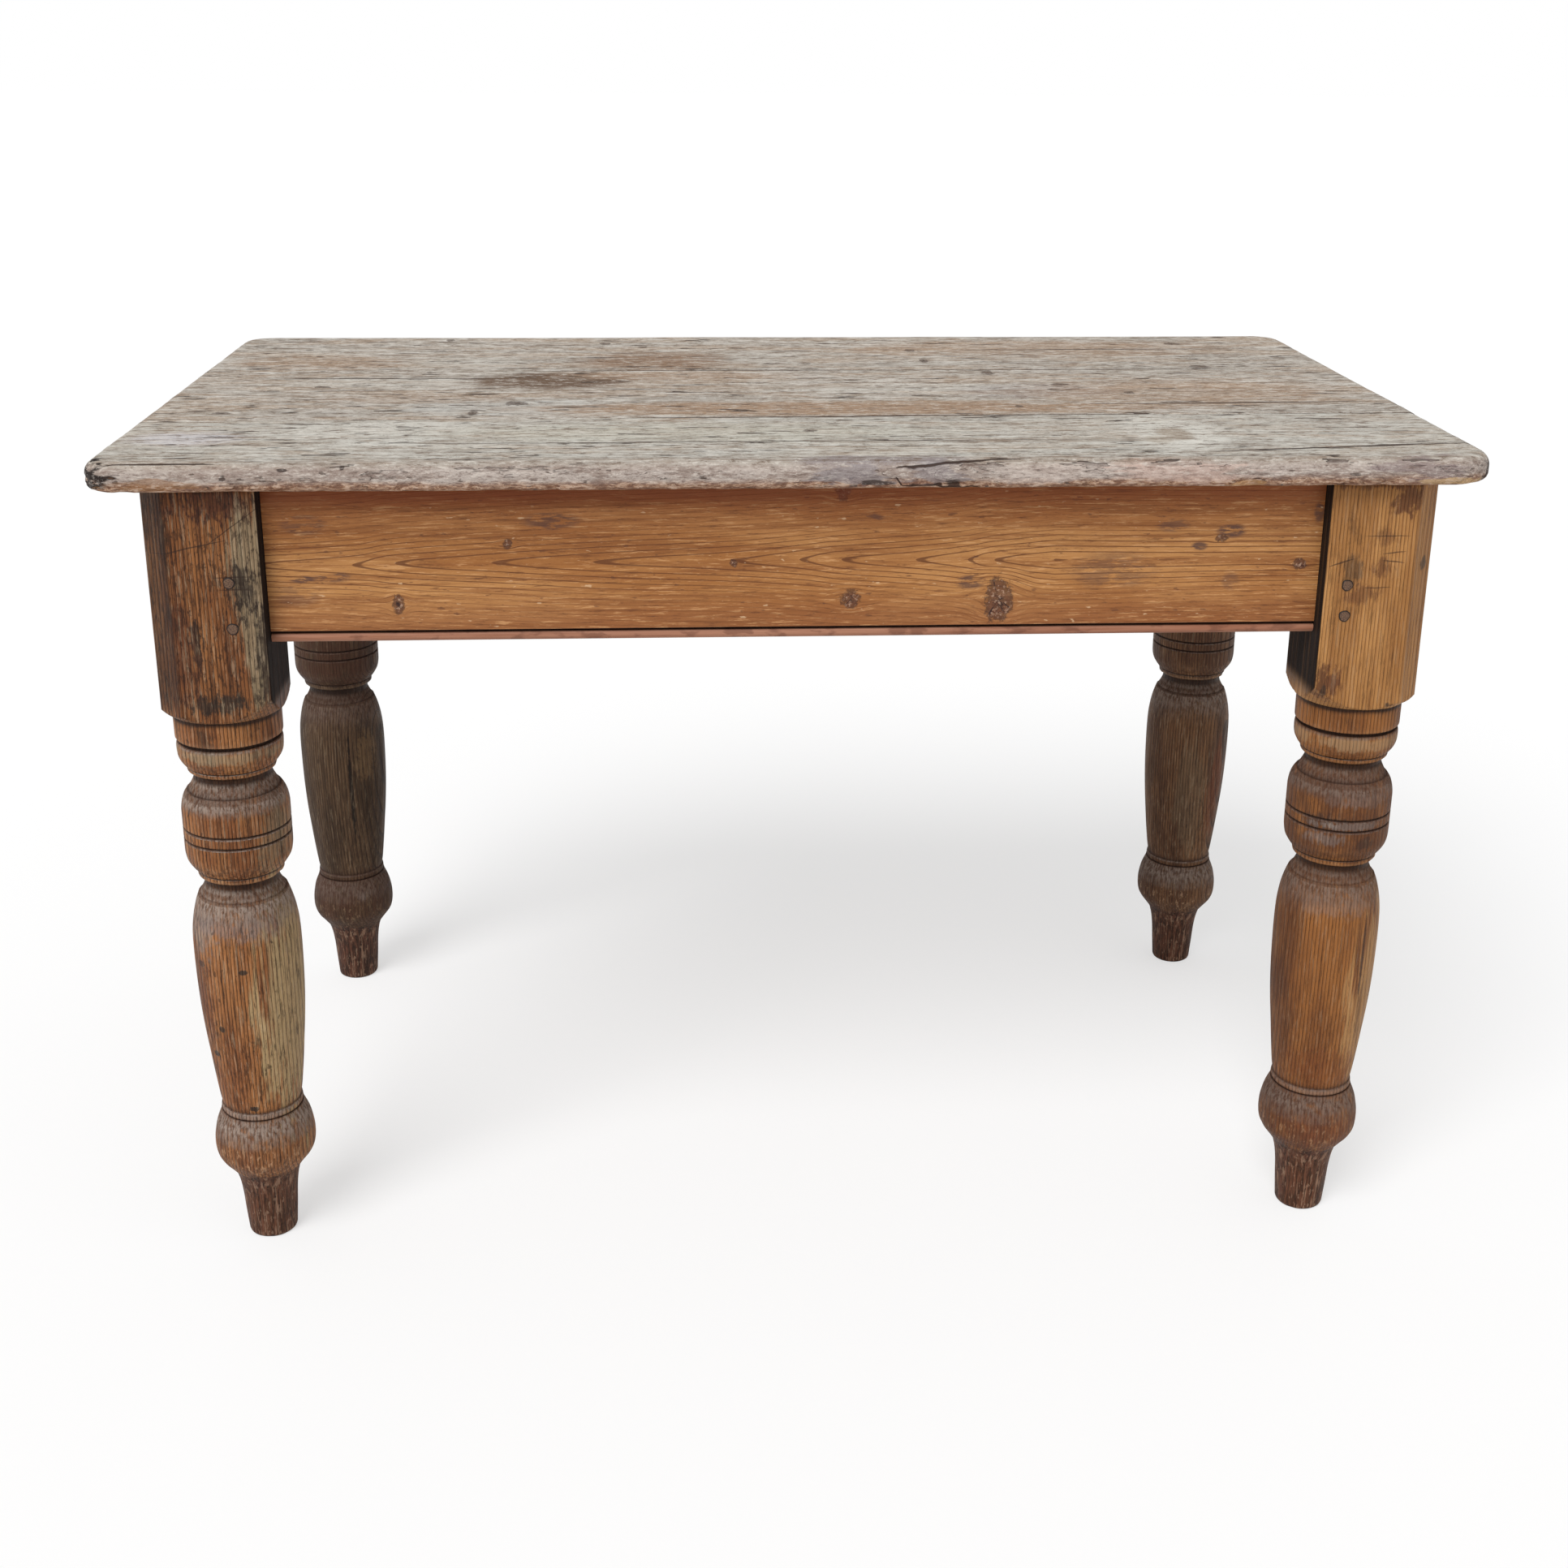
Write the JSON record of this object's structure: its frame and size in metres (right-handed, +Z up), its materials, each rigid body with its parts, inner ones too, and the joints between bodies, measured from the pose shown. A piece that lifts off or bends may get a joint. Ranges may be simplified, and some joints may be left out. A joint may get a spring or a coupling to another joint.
{
  "type": "farmhouse table",
  "caption": "Rectangular pine kitchen and dining table: boarded top with rounded edge, beaded aprons, and turned legs with chamfered square heads, pegged mortise and tenon joints.",
  "frame": {"origin": "on the floor, under the middle of the top", "axes": "+X along the table's length to the right as seen from the front, +Y from the front to the back, +Z up"},
  "size_m": [1.195, 0.69, 0.77],
  "materials": {
    "scrubbed_pine": "weathered, scrubbed and matt",
    "waxed_pine": "old wax, satin",
    "turned_pine": "old wax, worn and dusty",
    "peg_wood": "dark end grain",
    "raw_pine": "bare, sawn",
    "steel": "dull, rusted"
  },
  "bodies": {
    "root": {"top_board_front": "scrubbed_pine", "top_board_middle": "scrubbed_pine", "top_board_back": "scrubbed_pine", "tongue_front": "raw_pine", "tongue_back": "raw_pine", "leg_front_left": "turned_pine", "leg_front_right": "turned_pine", "leg_back_right": "turned_pine", "leg_back_left": "turned_pine", "pegs_front_left": "peg_wood", "pegs_front_right": "peg_wood", "pegs_back_right": "peg_wood", "pegs_back_left": "peg_wood", "apron_front": "waxed_pine", "apron_right": "waxed_pine", "apron_back": "waxed_pine", "apron_left": "waxed_pine", "screws_front": "steel", "screws_right": "steel", "screws_back": "steel", "screws_left": "steel", "glue_blocks_front": "raw_pine", "glue_blocks_right": "raw_pine", "glue_blocks_back": "raw_pine", "glue_blocks_left": "raw_pine"}
  },
  "joints": []
}
